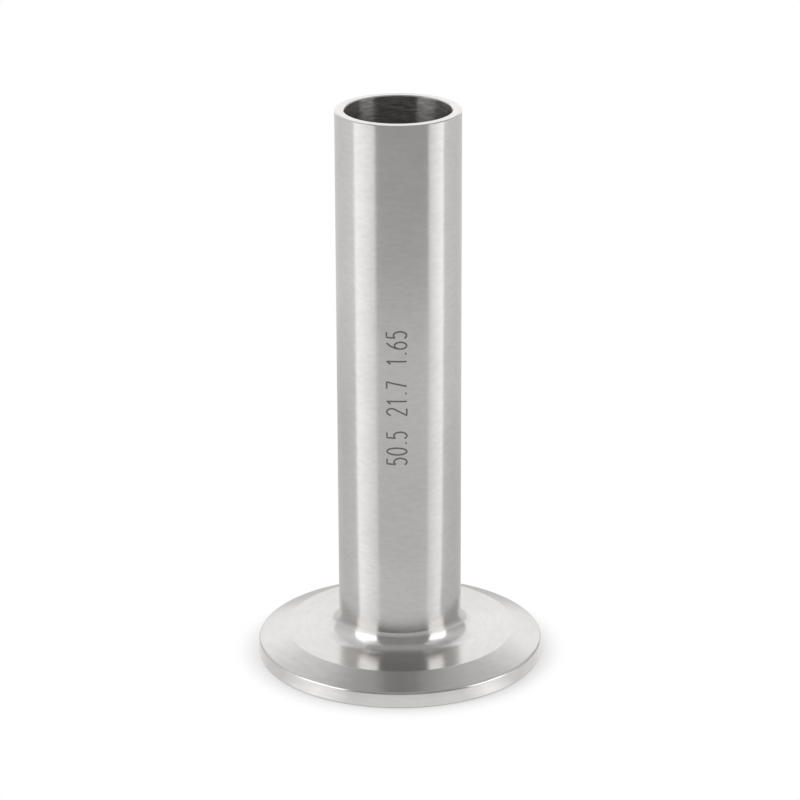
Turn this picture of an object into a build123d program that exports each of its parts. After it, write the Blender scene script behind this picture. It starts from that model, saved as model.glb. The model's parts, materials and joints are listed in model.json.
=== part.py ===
from build123d import *
from math import radians, tan
import os

# A sanitary clamp ferrule with a long welding stub, turned from one piece of stainless steel.
# It stands on its sealing face. The origin is the centre of that face, and +Z runs up the tube
# to the weld end. Every form is round about Z, so the whole ferrule is one half section, drawn
# with the radius across and the height up, and turned once about the axis.

# Driving dimensions, in millimetres and degrees.

# The welding stub
overall_length = 100.0  # sealing face to weld end
tube_diameter = 21.7  # outside, the size of a 15A pipe
tube_wall = 1.65  # what is left between the outside and the bore
weld_edge_break = 0.15  # chamfer on the outer edge of the faced weld end
bore_edge_break = 0.2  # chamfer on the bore's edge at either end, where it was deburred

# The clamp flange
flange_diameter = 50.5  # the clamp size shared by 1 inch and 1 1/2 inch unions
rim_thickness = 2.85  # sealing face up to where the bevel's line meets the rim
bevel_angle = 21.0  # slope of the wedge that the clamp's jaws pull on
bevel_width = 4.95  # from the rim in to the flat back of the flange
rim_edge_radius = 0.5  # between the bevel and the rim
seal_edge_radius = 0.3  # between the rim and the sealing face
bevel_edge_radius = 0.3  # between the bevel and the flat back
hub_radius = 3.0  # fillet from the flat back up into the tube

# The gasket groove in the sealing face
groove_inset = 3.5  # from the rim in to the middle of the groove
groove_width = 4.4  # across its mouth
groove_depth = 1.6  # at its middle
groove_lip_break = 0.15  # chamfer on both lips, so that they don't cut the gasket

# What follows from them
tube_radius = tube_diameter / 2
bore_radius = tube_radius - tube_wall
rim_radius = flange_diameter / 2
back_radius = rim_radius - bevel_width
back_height = rim_thickness + bevel_width * tan(radians(bevel_angle))
groove_radius = rim_radius - groove_inset


def blank_section():
    """The half section before the groove is cut: each corner is a radius, a height and a rounding."""
    corners = [
        (bore_radius, bore_edge_break, 0),
        (bore_radius + bore_edge_break, 0, 0),
        (rim_radius, 0, seal_edge_radius),
        (rim_radius, rim_thickness, rim_edge_radius),
        (back_radius, back_height, bevel_edge_radius),
        (tube_radius, back_height, hub_radius),
        (tube_radius, overall_length - weld_edge_break, 0),
        (tube_radius - weld_edge_break, overall_length, 0),
        (bore_radius + bore_edge_break, overall_length, 0),
        (bore_radius, overall_length - bore_edge_break, 0),
    ]
    outline = FilletPolyline(
        [(radius, height) for radius, height, rounding in corners],
        radius=[rounding for radius, height, rounding in corners],
        close=True,
    )
    return make_face(outline)


def cut_groove(section):
    """Take the round-bottomed groove out of the sealing face and break both of its lips."""
    inner_lip = (groove_radius - groove_width / 2, 0)
    outer_lip = (groove_radius + groove_width / 2, 0)
    bottom = (groove_radius, groove_depth)
    mouth = Line(outer_lip, inner_lip)
    grooved = section - make_face(ThreePointArc(inner_lip, bottom, outer_lip) + mouth)
    lips = [grooved.vertices().sort_by_distance(lip)[0] for lip in (inner_lip, outer_lip)]
    return chamfer(lips, groove_lip_break)


ferrule = revolve(Plane.XZ * cut_groove(blank_section()), Axis.Z)

os.makedirs("parts", exist_ok=True)
export_step(ferrule, "parts/ferrule.step")
print("ferrule", round(ferrule.volume), "cubic mm")
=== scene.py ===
# %% [markdown]
# # A sanitary clamp ferrule, dressed in Blender
#
# A clamp ferrule joins a pipe to a quick clamp in a dairy or a brewery. It is turned from one
# piece of stainless steel: a long tube for welding to the pipe, and a flange with a sloped back
# that the clamp pulls on. Its shape is already exact in the CAD model, so this lesson leaves the
# shape alone and works on what the eye reads as steel: the camera, the finish and the light.

# %% Load the CAD model as a fixed frame
import json
from math import atan2, cos, degrees, radians, sin, tan

import bpy
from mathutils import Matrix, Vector


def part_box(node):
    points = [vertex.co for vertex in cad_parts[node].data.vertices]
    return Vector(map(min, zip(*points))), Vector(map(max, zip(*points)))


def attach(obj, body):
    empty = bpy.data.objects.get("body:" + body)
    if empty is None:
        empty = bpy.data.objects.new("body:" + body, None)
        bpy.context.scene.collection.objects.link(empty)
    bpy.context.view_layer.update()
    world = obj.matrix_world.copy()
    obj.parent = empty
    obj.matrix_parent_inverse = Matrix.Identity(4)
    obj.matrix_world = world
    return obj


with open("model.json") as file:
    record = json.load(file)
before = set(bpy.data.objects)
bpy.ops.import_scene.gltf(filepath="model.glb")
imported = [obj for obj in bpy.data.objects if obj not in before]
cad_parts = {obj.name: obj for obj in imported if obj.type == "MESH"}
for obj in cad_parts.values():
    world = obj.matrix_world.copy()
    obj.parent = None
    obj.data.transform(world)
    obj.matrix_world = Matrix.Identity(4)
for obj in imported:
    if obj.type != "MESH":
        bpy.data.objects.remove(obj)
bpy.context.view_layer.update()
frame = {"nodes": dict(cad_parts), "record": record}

# %% [markdown]
# ## Sizes that the finish follows
#
# Every pattern below has to know where the bore ends and where the flange begins. They could be
# typed in again, but the frame already gives them, and then the finish and the studio stay in
# place if the part is ever made in another size.

# %% Read the ferrule's sizes from the frame
MM = 0.001
low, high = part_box("ferrule")
length = high.z
rim_radius = high.x
mounts = {mount["name"]: mount for mount in frame["record"]["mounts"]}
bore_radius = mounts["bore"]["dims"]["r_mm"] * MM
tube_radius = mounts["tube_outside"]["dims"]["r_mm"] * MM
print("ferrule's box from", tuple(low), "to", tuple(high))
print("length", length, "rim", rim_radius, "tube", tube_radius, "bore", bore_radius)

# %% [markdown]
# ## Three small helpers
#
# Blender's shaders want linear light, while a colour that is given in hex is sRGB, so one
# function turns a hex value into linear numbers. A shader could be wired by hand in the editor,
# but in a script one small function that adds a node with its settings and links keeps each
# material readable as a list. The third helper gives a new material with nothing in it yet.

# %% Colours from hex, one function that adds a node, and an empty material
def linear(code):
    """An sRGB hex colour as the linear numbers that Blender's shaders use."""
    channels = [int(code[i:i + 2], 16) / 255 for i in (1, 3, 5)]
    return [c / 12.92 if c <= 0.04045 else ((c + 0.055) / 1.055) ** 2.4 for c in channels] + [1]


def add(tree, kind, inputs=None, **settings):
    """Add one node. settings are its properties; inputs are its sockets' values or what links to them."""
    node = tree.nodes.new(kind)
    for name, value in settings.items():
        setattr(node, name, value)
    for socket, value in (inputs or {}).items():
        if isinstance(value, bpy.types.NodeSocket):
            tree.links.new(value, node.inputs[socket])
        else:
            node.inputs[socket].default_value = value
    return node


def empty_material(name):
    """A material without any nodes, and the tree that its nodes go into."""
    material = bpy.data.materials.new(name)
    material.use_nodes = True
    material.node_tree.nodes.clear()
    return material, material.node_tree


print("mid grey in linear light", [round(value, 3) for value in linear("#808080")])

# %% [markdown]
# ## The camera
#
# A product shot of a slim fitting is taken from a few lengths away with a long lens, which keeps
# the tube's sides nearly parallel, and from a little above, so that the open end shows. The
# camera could be aimed with a Track To constraint, but a rotation worked out once is plainer.

# %% Aim a long lens at the middle of the ferrule
camera_distance = 0.540
camera_height = 0.2456
aim_side = 0.00014
aim_height = 0.0475
camera_roll = radians(-0.21)
camera_data = bpy.data.cameras.new("camera")
camera_data.lens = 148.0
camera_data.sensor_width = 36.0
camera_data.clip_start = 0.01
camera = bpy.data.objects.new("camera", camera_data)
bpy.context.scene.collection.objects.link(camera)
camera.location = (0, -camera_distance, camera_height)
gaze = Vector((aim_side, 0, aim_height)) - camera.location
camera.rotation_mode = "QUATERNION"
camera.rotation_quaternion = gaze.to_track_quat("-Z", "Y")
camera.rotation_mode = "XYZ"
camera.rotation_euler.rotate_axis("Z", camera_roll)
bpy.context.scene.camera = camera
print("camera looks down by", round(degrees(atan2(-gaze.z, gaze.y)), 2), "degrees")

# %% [markdown]
# ## Turned stainless steel
#
# The real part is austenitic stainless steel that was turned on a lathe and then polished while
# it spun. The eye gets a neutral grey that is nearly a mirror, with every mark on it running
# round the axis. Marks like that smear a reflection along the tube and leave it crisp across the
# tube, which is why upright bands of light with fairly sharp sides run the whole length of it.
# One roughness for everything would be simpler, but it would blur both ways and look like satin
# paint. Everything about this finish depends on where a point lies round the axis, so the
# material starts by measuring that: the distance and the direction from the axis, and how far
# along the turned section the point is.

# %% The steel's material, and where each of its points lies
steel, steel_tree = empty_material("turned_stainless_steel")
point = add(steel_tree, "ShaderNodeTexCoord").outputs["Object"]
flat = add(steel_tree, "ShaderNodeVectorMath", {0: point, 1: (1, 1, 0)}, operation="MULTIPLY").outputs[0]
from_axis = add(steel_tree, "ShaderNodeVectorMath", {0: flat}, operation="LENGTH").outputs["Value"]
height = add(steel_tree, "ShaderNodeSeparateXYZ", {0: point}).outputs["Z"]
outward = add(steel_tree, "ShaderNodeVectorMath", {0: flat}, operation="NORMALIZE").outputs[0]
direction = add(steel_tree, "ShaderNodeSeparateXYZ", {0: outward}).outputs
along_section = add(steel_tree, "ShaderNodeMath", {0: from_axis, 1: height}, operation="ADD").outputs[0]
print("nodes that measure a point:", len(steel_tree.nodes))

# %% [markdown]
# ## Marks that run round the axis
#
# A lathe tool and a polishing belt both leave fine lines round the axis. They could be modelled
# as grooves, but they are far finer than any mesh. Noise gives them instead: it is stretched so
# that one blot is as long as a mark on the tube and as narrow as the marks' pitch. Real marks
# are a few hundredths of a millimetre apart, too fine to show from here, so each pitch below is
# drawn as a few tenths.

# %% Noise that is stretched round the axis
def lathe_marks(run, pitch, detail):
    """Marks round the axis: how long each is on the tube, how far apart they are, and how ragged."""
    scales = ((direction["X"], tube_radius / run), (direction["Y"], tube_radius / run),
              (along_section, 1 / pitch))
    stretched = [add(steel_tree, "ShaderNodeMath", {0: part, 1: scale}, operation="MULTIPLY").outputs[0]
                 for part, scale in scales]
    spot = add(steel_tree, "ShaderNodeCombineXYZ", dict(enumerate(stretched))).outputs[0]
    noise = add(steel_tree, "ShaderNodeTexNoise", {"Vector": spot, "Scale": 1.0, "Detail": detail})
    return noise.outputs["Fac"]


grain = lathe_marks(1.6 * MM, 0.6 * MM, 4.0)
scratches = lathe_marks(2 * MM, 0.35 * MM, 3.0)
print("a grain mark spans", round(degrees(1.6 * MM / tube_radius), 1), "degrees of the tube")

# %% [markdown]
# ## Tone, cloudiness and waviness
#
# Polishing by hand is never even. It leaves clouds about a centimetre across where the belt
# dwelt, a faint grain, and a surface that waves by about a hundredth of a millimetre, which makes
# straight reflections waver. A painted texture could hold all this, but three noises whose sizes
# are given in millimetres do it at any distance. The bore was never polished, and its tone comes
# in short streaks; its colour is also set darker than the tube's, as painted shade inside the bore.

# %% The steel's tones, its cloudy roughness and its waves
cloud_size = 9 * MM
wave_size = 2.2 * MM
wave_depth = 0.012 * MM
clouds = add(steel_tree, "ShaderNodeTexNoise", {"Vector": point, "Scale": 1 / cloud_size,
                                                "Detail": 3.0}).outputs["Fac"]
cloudy = add(steel_tree, "ShaderNodeMapRange", {"Value": clouds, "From Min": 0.3, "From Max": 0.7,
                                                "To Min": 0.16, "To Max": 0.22}).outputs[0]
tone = add(steel_tree, "ShaderNodeMath", {0: clouds, 1: grain}, operation="ADD").outputs[0]
tone = add(steel_tree, "ShaderNodeMapRange", {"Value": tone, "From Min": 0.6, "From Max": 1.4}).outputs[0]
# Sockets 6 and 7 of a Mix node are its two colours.
tone = add(steel_tree, "ShaderNodeMix", {"Factor": tone, 6: linear("#C0BEBC"), 7: linear("#CBC9C7")},
           data_type="RGBA").outputs[2]
# The bore's colour: streaks of tone, set darker than the tube's as painted shade inside the bore.
streaks_and_painted_shade = add(steel_tree, "ShaderNodeMapRange", {"Value": scratches, "From Min": 0.35, "From Max": 0.65})
streaks_and_painted_shade = add(steel_tree, "ShaderNodeMix", {"Factor": streaks_and_painted_shade.outputs[0], 6: linear("#868482"),
                                            7: linear("#A6A4A2")}, data_type="RGBA").outputs[2]
waves = add(steel_tree, "ShaderNodeTexNoise", {"Vector": point, "Scale": 1 / wave_size, "Detail": 3.0})
wavy = add(steel_tree, "ShaderNodeBump", {"Height": waves.outputs["Fac"], "Strength": 1.0,
                                          "Distance": wave_depth}).outputs[0]
print("clouds of", cloud_size, "m and waves of", wave_size, "m")

# %% [markdown]
# ## Three finishes on one piece
#
# The ferrule has three finishes: the tube is polished, the flange and its hub are left as the
# tool faced them, and the bore is reamed and dull. Polished steel has a roughness of 0.1 to 0.3,
# reamed steel a little more. The tangent runs round the axis as the marks do, and a quarter turn
# of it sets the smear square to them: up the tube, and outward on the flange. The bore's marks
# are drawn deeper than real ones, so that they show in the dark. Three materials on three groups
# of faces would also do, but a test of each point's distance from the axis needs no face to be
# picked, so it outlives a new mesh.

# %% Polished, faced and reamed steel, chosen by the distance from the axis
round_the_axis = add(steel_tree, "ShaderNodeTangent", direction_type="RADIAL", axis="Z").outputs[0]


def finish(colour, roughness, anisotropy, marks, depth):
    """One finish: how rough it is, how much of that is smeared square to its marks, and how deep they are."""
    bump = add(steel_tree, "ShaderNodeBump", {"Height": marks, "Strength": 1.0, "Distance": depth,
                                              "Normal": wavy})
    return add(steel_tree, "ShaderNodeBsdfPrincipled", {
        "Base Color": colour,
        "Metallic": 1.0,
        "Roughness": roughness,
        "Anisotropic": anisotropy,
        "Anisotropic Rotation": 0.25,
        "Tangent": round_the_axis,
        "Normal": bump.outputs[0],
    }).outputs[0]


bore_end = bore_radius + 0.05 * MM  # a hair into the wall, so that the whole bore is reamed
tube_end = tube_radius + 0.01 * MM  # where the hub's fillet leaves the tube
polished = finish(tone, cloudy, 0.5, lathe_marks(8 * MM, 0.4 * MM, 3.0), 0.001 * MM)
faced = finish(tone, 0.20, 0.85, lathe_marks(12 * MM, 0.3 * MM, 2.0), 0.003 * MM)
# The bore's finish takes that darker colour, which is painted shade inside the bore.
reamed_with_painted_shade = finish(streaks_and_painted_shade, 0.34, 1.0, lathe_marks(2.5 * MM, 0.45 * MM, 2.0), 0.06 * MM)
in_bore = add(steel_tree, "ShaderNodeMath", {0: from_axis, 1: bore_end}, operation="LESS_THAN")
on_flange = add(steel_tree, "ShaderNodeMath", {0: from_axis, 1: tube_end}, operation="GREATER_THAN")
outside = add(steel_tree, "ShaderNodeMixShader", {0: on_flange.outputs[0], 1: polished, 2: faced})
everywhere = add(steel_tree, "ShaderNodeMixShader", {0: in_bore.outputs[0], 1: outside.outputs[0], 2: reamed_with_painted_shade})
add(steel_tree, "ShaderNodeOutputMaterial", {"Surface": everywhere.outputs[0]})
ferrule = frame["nodes"]["ferrule"]
ferrule.data.materials.clear()
ferrule.data.materials.append(steel)
print("ferrule wears", steel.name, "on", len(ferrule.data.polygons), "faces")

# %% [markdown]
# ## The size mark
#
# A laser writes a ferrule's sizes on the tube, and its thin dark strokes are the only drawing on
# the part. Here they are plain numbers: the flange's diameter, the tube's and the wall. A picture
# of the numbers could be laid on the steel, but strokes that are built as geometry stay sharp
# from any distance. Each digit is a few pen strokes in a box one wide and two high, and a round
# stroke is a part of an ellipse.

# %% Pen strokes of the digits
def curve(centre, reach_x, reach_y, start, end):
    """Points on a part of an ellipse, from one angle to another in degrees, about 15 degrees apart."""
    steps = max(4, round(abs(end - start) / 15))
    angles = [radians(start + (end - start) * i / steps) for i in range(steps + 1)]
    return [(centre[0] + reach_x * cos(angle), centre[1] + reach_y * sin(angle)) for angle in angles]


pen_strokes = {
    "0": [curve((0.5, 1.0), 0.5, 1.0, 90, 450)],
    "1": [[(0.15, 1.6), (0.55, 2.0), (0.55, 0.0)]],
    "2": [curve((0.5, 1.5), 0.5, 0.5, 170, -35) + [(0.0, 0.0), (1.0, 0.0)]],
    "5": [[(0.9, 2.0), (0.15, 2.0), (0.1, 1.15)] + curve((0.46, 0.65), 0.54, 0.65, 125, -140)],
    "6": [[(0.85, 2.0), (0.4, 1.6), (0.1, 1.1)] + curve((0.5, 0.6), 0.5, 0.6, 180, -180)],
    "7": [[(0.0, 2.0), (1.0, 2.0), (0.4, 0.0)]],
    ".": [[(0.2, 0.0), (0.2, 0.16)]],
    " ": [],
}
print("pen strokes for", "".join(pen_strokes))

# %% [markdown]
# ## From a stroke to a ribbon
#
# The laser's stroke is a line of even width. A curve object with a bevel could give that width,
# but a ribbon of small faces is plain geometry that bends where it is told to. The path is cut
# finely first, because a long straight piece would dive into the round tube.

# %% A finely cut path, and the two sides of its ribbon
def finely(points, step):
    """The same path with points no further apart than the step, so that it can bend round the tube."""
    result = [points[0]]
    for start, end in zip(points, points[1:]):
        parts = max(1, round(((end[0] - start[0]) ** 2 + (end[1] - start[1]) ** 2) ** 0.5 / step))
        result += [(start[0] + (end[0] - start[0]) * i / parts, start[1] + (end[1] - start[1]) * i / parts)
                   for i in range(1, parts + 1)]
    return result


def ribbon(points, width):
    """Points down both sides of a path, each pair square to the path there."""
    sides = []
    for i, point in enumerate(points):
        before = points[max(i - 1, 0)]
        after = points[min(i + 1, len(points) - 1)]
        along = Vector((after[0] - before[0], after[1] - before[1])).normalized()
        square = Vector((-along.y, along.x)) * width / 2
        sides.append((Vector(point) - square, Vector(point) + square))
    return sides


print("the first stroke of a 5 has", len(pen_strokes["5"][0]), "points before it is cut finely")

# %% [markdown]
# ## Writing up the tube
#
# The numbers read upward along the tube's front, so a digit's width runs up the axis and its
# height runs round it. A Simple Deform modifier could bend a flat word, but the sine and cosine
# of each corner's turn put it on the tube in one step. The ribbons lie a hair above the steel,
# too little to stand out at the tube's edge.

# %% The mark's mesh
digit_width = 0.72
digit_advance = 1.09
other_advances = {".": 0.62, " ": 1.4}
bend_step = 0.3 * MM
mark_radius = tube_radius + 0.008 * MM


def size_mark(text, bottom, baseline, digit_height, stroke_width):
    """Numbers that read up the tube. The bottom is a height, the baseline a way round the front."""
    unit = digit_height / 2
    corners = []
    faces = []
    pen = bottom
    for letter in text:
        for stroke in pen_strokes[letter]:
            path = [(pen + x * unit * digit_width, y * unit) for x, y in stroke]
            for i, pair in enumerate(ribbon(finely(path, bend_step), stroke_width)):
                for along, up in pair:
                    turn = (baseline - up) / tube_radius
                    corners.append((mark_radius * sin(turn), -mark_radius * cos(turn), along))
                if i:
                    last = len(corners) - 1
                    faces.append((last - 3, last - 1, last, last - 2))
        pen += other_advances.get(letter, digit_advance) * unit
    mesh = bpy.data.meshes.new("size_mark")
    mesh.from_pydata(corners, [], faces)
    return mesh, pen


mark_bottom = 0.395 * length
mark_mesh, mark_top = size_mark("50.5 21.7 1.65", mark_bottom, baseline=1.3 * MM, digit_height=3.45 * MM,
                                stroke_width=0.28 * MM)
print("size mark runs from", round(mark_bottom, 4), "to", round(mark_top, 4), "m up the tube")

# %% [markdown]
# ## Laser-darkened steel
#
# The laser heats the steel until a thin grey oxide grows on it. It is still metal to the eye,
# only darker and duller than the polish round it. A matt black paint would be easier, but it
# would stay black where the steel behind it flashes white, and an oxide doesn't.

# %% The oxide, and the mark on the tube
oxide, oxide_tree = empty_material("laser_darkened_steel")
oxide_surface = add(oxide_tree, "ShaderNodeBsdfPrincipled", {
    "Base Color": linear("#76726E"),
    "Metallic": 1.0,
    "Roughness": 0.5,
})
add(oxide_tree, "ShaderNodeOutputMaterial", {"Surface": oxide_surface.outputs[0]})
mark_mesh.materials.append(oxide)
mark = bpy.data.objects.new("size_mark", mark_mesh)
bpy.context.scene.collection.objects.link(mark)
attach(mark, "root")
print("size mark has", len(mark_mesh.polygons), "faces")

# %% [markdown]
# ## The white tent
#
# Polished metal has hardly any look of its own: it shows the room. So the room matters as much
# as the steel, and it starts as a plain white tent. A ready panorama of a studio could light the
# part, but then nothing in the reflections could be moved. The tent is full white where the eye
# or the steel looks at it, and dimmer for the light that falls on the paper, so that the
# ferrule's soft shadow isn't washed away.

# %% White surroundings
def seen(tree):
    """One for rays that see the surroundings, straight or by way of metal or glass, and nought for others."""
    path = add(tree, "ShaderNodeLightPath").outputs
    straight = add(tree, "ShaderNodeMath", {0: path["Is Camera Ray"], 1: path["Is Glossy Ray"]},
                   operation="MAXIMUM").outputs[0]
    return add(tree, "ShaderNodeMath", {0: straight, 1: path["Is Transmission Ray"]},
               operation="MAXIMUM").outputs[0]


tent = bpy.data.worlds.new("white_tent")
tent.use_nodes = True
tent_tree = tent.node_tree
tent_tree.nodes.clear()
strength = add(tent_tree, "ShaderNodeMapRange", {"Value": seen(tent_tree), "To Min": 0.6, "To Max": 1.0})
white = add(tent_tree, "ShaderNodeBackground", {"Color": linear("#FFFFFF"), "Strength": strength.outputs[0]})
add(tent_tree, "ShaderNodeOutputWorld", {"Surface": white.outputs[0]})
bpy.context.scene.world = tent
print("the tent has", len(tent_tree.nodes), "nodes")

# %% [markdown]
# ## White paper
#
# The ferrule stands on a sheet of white paper. Lit paper is never quite as white as the tent, so
# its edge would show. Close round the rim the paper is therefore really lit, which keeps the
# shadow, and further out it turns plain white. It is also plain white right under the flange and
# clear from below, as if the part stood on glass, so that the sealing face and its groove can be
# looked at from underneath. A backdrop that curves up behind would hide the edge as well, but
# the steel would mirror the bend.

# %% The paper's material
shadow_start = rim_radius - 4 * MM
shadow_end = rim_radius + 5 * MM
face_middle = (bore_radius + rim_radius) / 2
face_reach = (rim_radius - bore_radius) / 2 - 0.6 * MM
paper, paper_tree = empty_material("white_paper")
place = add(paper_tree, "ShaderNodeTexCoord").outputs["Object"]
distance = add(paper_tree, "ShaderNodeVectorMath", {0: place}, operation="LENGTH").outputs["Value"]
far_out = add(paper_tree, "ShaderNodeMapRange", {"Value": distance, "From Min": shadow_start,
                                                 "From Max": shadow_end}, interpolation_type="SMOOTHSTEP")
under_flange = add(paper_tree, "ShaderNodeMath", {0: distance, 1: face_middle, 2: face_reach},
                   operation="COMPARE")
share = add(paper_tree, "ShaderNodeMath", {0: far_out.outputs[0], 1: under_flange.outputs[0]},
            operation="MAXIMUM")
share = add(paper_tree, "ShaderNodeMath", {0: seen(paper_tree), 1: share.outputs[0]}, operation="MULTIPLY")
lit = add(paper_tree, "ShaderNodeBsdfDiffuse", {"Color": linear("#FAFAFA")})
plain = add(paper_tree, "ShaderNodeEmission", {"Color": linear("#FFFFFF"), "Strength": 1.0})
above = add(paper_tree, "ShaderNodeMixShader", {0: share.outputs[0], 1: lit.outputs[0], 2: plain.outputs[0]})
from_below = add(paper_tree, "ShaderNodeNewGeometry").outputs["Backfacing"]
clear = add(paper_tree, "ShaderNodeBsdfTransparent")
both = add(paper_tree, "ShaderNodeMixShader", {0: from_below, 1: above.outputs[0], 2: clear.outputs[0]})
add(paper_tree, "ShaderNodeOutputMaterial", {"Surface": both.outputs[0]})
print("the paper turns plain white from", shadow_start, "to", shadow_end, "m from the axis")

# %% [markdown]
# ## The floor
#
# The sheet itself is a flat square, far larger than the ferrule. It belongs to the studio, not
# to the part. A plane from the Add menu would do as well. It lies a fiftieth of a millimetre low,
# because two faces in the very same plane would fight over which of them shows.

# %% A flat sheet of paper
def sheet(name, reach, height, material):
    """A flat square sheet that belongs to the studio and not to the object."""
    mesh = bpy.data.meshes.new(name)
    corners = [(-reach, -reach, height), (reach, -reach, height),
               (reach, reach, height), (-reach, reach, height)]
    mesh.from_pydata(corners, [], [(0, 1, 2, 3)])
    mesh.materials.append(material)
    piece = bpy.data.objects.new(name, mesh)
    bpy.context.scene.collection.objects.link(piece)
    return piece


floor = sheet("floor", 3.0, -0.02 * MM, paper)
print("floor spans", round(floor.dimensions.x, 2), "m")

# %% [markdown]
# ## Cards that glow
#
# Softboxes, screens and pieces of grey board are what a studio moves about until the steel reads
# as steel. Area lamps could stand for the softboxes, but a reflection looks real when it fades
# from edge to edge, and a plain lamp has one strength all over. Each card here is a mesh whose
# corners carry their own strength, and one material shows it. A card is hidden from the camera
# and throws no shadow, and only the softboxes at the sides light the paper.

# %% One card, made of rings round the ferrule
card_light, card_tree = empty_material("glowing_card")
glow = add(card_tree, "ShaderNodeAttribute", attribute_name="glow").outputs["Fac"]
light = add(card_tree, "ShaderNodeEmission", {"Color": linear("#FFFFFF"), "Strength": glow}).outputs[0]
add(card_tree, "ShaderNodeOutputMaterial", {"Surface": light})


def card(name, rings, lights_the_paper=False):
    """A card made of strips between rings. Each ring gives its distance from the axis, its height, the
    azimuths of its two ends in degrees from the camera's side, and the strengths at those ends."""
    steps = 12
    corners = []
    strengths = []
    faces = []
    for distance, height, first, last, first_strength, last_strength in rings:
        for i in range(steps + 1):
            turn = radians(first + (last - first) * i / steps)
            corners.append((distance * sin(turn), -distance * cos(turn), height))
            strengths.append(first_strength + (last_strength - first_strength) * i / steps)
    for ring in range(len(rings) - 1):
        for i in range(ring * (steps + 1), ring * (steps + 1) + steps):
            faces.append((i, i + 1, i + steps + 2, i + steps + 1))
    mesh = bpy.data.meshes.new(name)
    mesh.from_pydata(corners, [], faces)
    mesh.attributes.new("glow", "FLOAT", "POINT").data.foreach_set("value", strengths)
    mesh.materials.append(card_light)
    piece = bpy.data.objects.new(name, mesh)
    bpy.context.scene.collection.objects.link(piece)
    piece.visible_camera = False
    piece.visible_shadow = False
    piece.visible_diffuse = lights_the_paper
    print(name, "has", len(faces), "faces that glow from", min(strengths), "to", max(strengths))


print("a card's material is", card_light.name)

# %% [markdown]
# ## The softboxes
#
# A tall softbox stands on each side and a wide one behind. The two at the sides make the bright
# spots in the hub's fillet and the pale stripes on the flange's flat back, and the one behind
# lights the rest of that back. They could be flat boxes, but a card that is bent round the
# ferrule is described by what the steel sees of it: from which azimuth to which, and how strong
# it is at each elevation.

# %% Softboxes at the sides and behind
reach = 0.6
left = (-87, -43)
right = (56, 90)
behind = (145, 215)


def upright(span, profile):
    """Rings of a card that stands at the studio's reach. Its profile gives an elevation, and one strength
    or one for either end."""
    return [(reach, reach * tan(radians(elevation)), *span, strengths[0], strengths[-1])
            for elevation, *strengths in profile]


card("softbox_left", upright(left, [(1, 1.6), (20, 2.6), (30, 2.7, 2.5), (37, 2.2, 0.8), (52, 1.5, 0.5)]),
     lights_the_paper=True)
card("softbox_right", upright(right, [(1, 1.5), (20, 2.6), (30, 2.8), (36, 1.0), (50, 0.6)]),
     lights_the_paper=True)
card("softbox_behind", upright(behind, [(2, 1.15), (24, 1.36), (62, 0.5)]))

# %% [markdown]
# ## The dim room and the gaps
#
# The camera stands in the dim part of the room, and the front of the steel shows it. Grey cloth
# hangs between the softboxes, and the ceiling is grey too. Leaving the tent white there would be
# simpler, but steel that sees white all round looks like chalk: its form is told by the darker
# parts between the bright ones.

# %% Grey cards between the softboxes, and the ceiling
ceiling_height = 1.15
card("dim_room", upright((left[1], right[0]), [(0, 0.33), (20, 0.34), (28, 0.40), (46, 0.32), (62, 0.55)]))
card("left_gap", upright((-behind[0], left[0]), [(3, 0.75), (20, 0.95), (32, 1.0), (50, 0.85), (62, 0.85)]))
card("right_gap", upright((right[1], behind[0]), [(3, 0.5), (20, 0.8), (32, 0.85), (50, 0.55), (62, 0.6)]))
card("ceiling", [(distance, ceiling_height, 0, 360, 0.52, 0.52) for distance in (0.02, 0.75)])

# %% [markdown]
# ## Boards on the paper
#
# The camera looks down, so the upright tube doesn't mirror the softboxes. It mirrors the paper:
# its foot shows the paper close by, and its top the paper more than a third of a metre away. The
# softboxes lay broad bright tracks on that paper, with a shaded one between them, and these are
# the bands that run up the tube. Lighting the paper for real would also light the floor in the
# picture, so boards that only the steel can see lie on it instead. Each has straight sides that
# run outward from beside the rim, as the edge of such a track does.

# %% Lit boards below the softboxes, a shaded one in front, and dull ones behind
near = rim_radius + 0.2 * MM
strip = near + 5 * MM
level = 0.05 * MM
near_left, near_right = (-64, -28), (38, 62)
far_left, far_right = (-87, -42), (56, 90)


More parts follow.
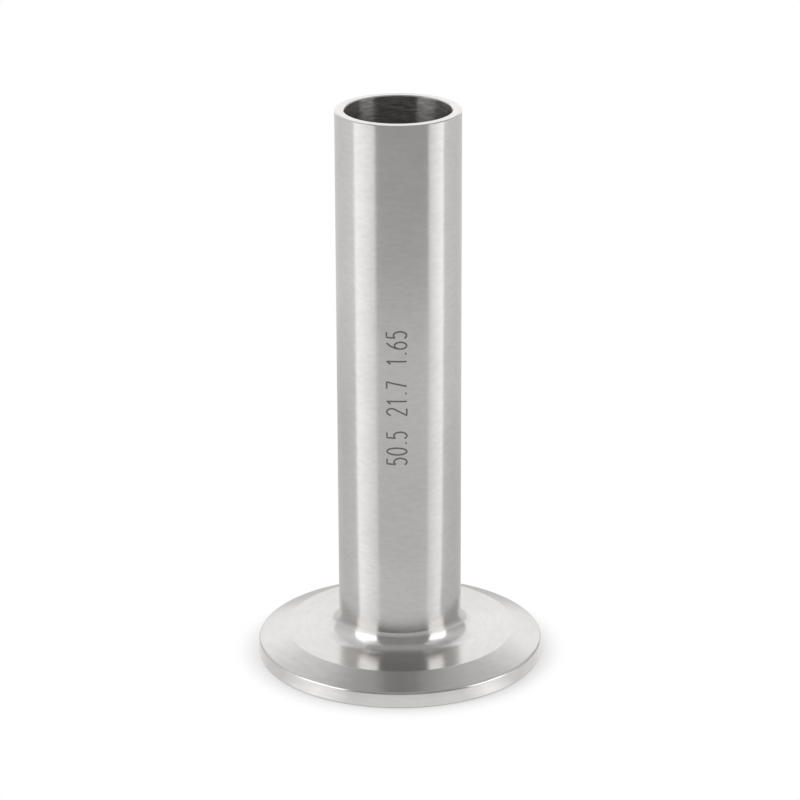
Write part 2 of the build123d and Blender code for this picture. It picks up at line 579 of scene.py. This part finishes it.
def lying(span, far_span, profile):
    """Rings of a board on the paper. Its ends run straight from azimuths beside the rim to the far ones."""
    rings = []
    for distance, *strengths in profile:
        share = (distance - near) / (reach - near)
        ends = []
        for azimuth, far_azimuth in zip(span, far_span):
            x = near * sin(radians(azimuth)) * (1 - share) + reach * sin(radians(far_azimuth)) * share
            y = near * cos(radians(azimuth)) * (1 - share) + reach * cos(radians(far_azimuth)) * share
            ends.append(degrees(atan2(x, y)))
        rings.append((distance, level, *ends, strengths[0], strengths[-1]))
    return rings


card("board_left", lying(near_left, far_left, [(strip, 1.5, 1.0), (0.2, 1.6, 1.05), (reach, 1.6, 1.05)]))
card("board_right", lying(near_right, far_right, [(strip, 1.0, 1.45), (0.1, 1.0, 1.45), (0.2, 1.0, 1.65),
                                                  (reach, 1.0, 1.65)]))
card("board_front", lying((near_left[1], near_right[0]), (far_left[1], far_right[0]),
                          [(strip, 0.86), (0.045, 0.82), (0.084, 0.73), (0.15, 0.80), (0.18, 0.96),
                           (0.205, 0.76), (0.225, 0.55), (reach, 0.5)]))
card("board_behind_left", lying((-180, near_left[0]), (-180, far_left[0]),
                                [(strip, 0.62, 0.86), (0.15, 0.62, 0.84), (0.2, 0.74, 1.03),
                                 (reach, 0.74, 1.03)]))
card("board_behind_right", lying((near_right[1], 180), (far_right[1], 180),
                                 [(strip, 0.80, 0.58), (0.08, 0.80, 0.58), (0.15, 0.90, 0.66),
                                  (0.2, 0.97, 0.70), (reach, 0.97, 0.70)]))

# %% [markdown]
# ## A strip beside the rim
#
# The flange's upright rim mirrors only the few millimetres of paper beside it, so it needs a
# narrow strip of its own. One strength all round would leave the rim flat. Here the strip rises
# to a peak on each side of the front and falls off again, which gives the rim two soft
# highlights instead of two hard wedges. Each turn below is an azimuth and the strength there.

# %% Short boards end to end round the rim
turns = [(-180, 0.9), (-60, 0.95), (-38, 1.55), (-22, 1.06), (28, 1.06), (42, 1.55), (56, 1.0), (180, 0.9)]
for i, ((first, first_strength), (last, last_strength)) in enumerate(zip(turns, turns[1:])):
    card("board_beside_rim_" + str(i + 1), [(distance, level, first, last, first_strength, last_strength)
                                            for distance in (near, strip)])

# %% [markdown]
# ## Colours as they are written
#
# A film-like view would lift the look of a landscape, but a catalogue part has to keep the
# colours that it was given, so the view transform is Standard.

# %% The view
bpy.context.scene.view_settings.view_transform = "Standard"
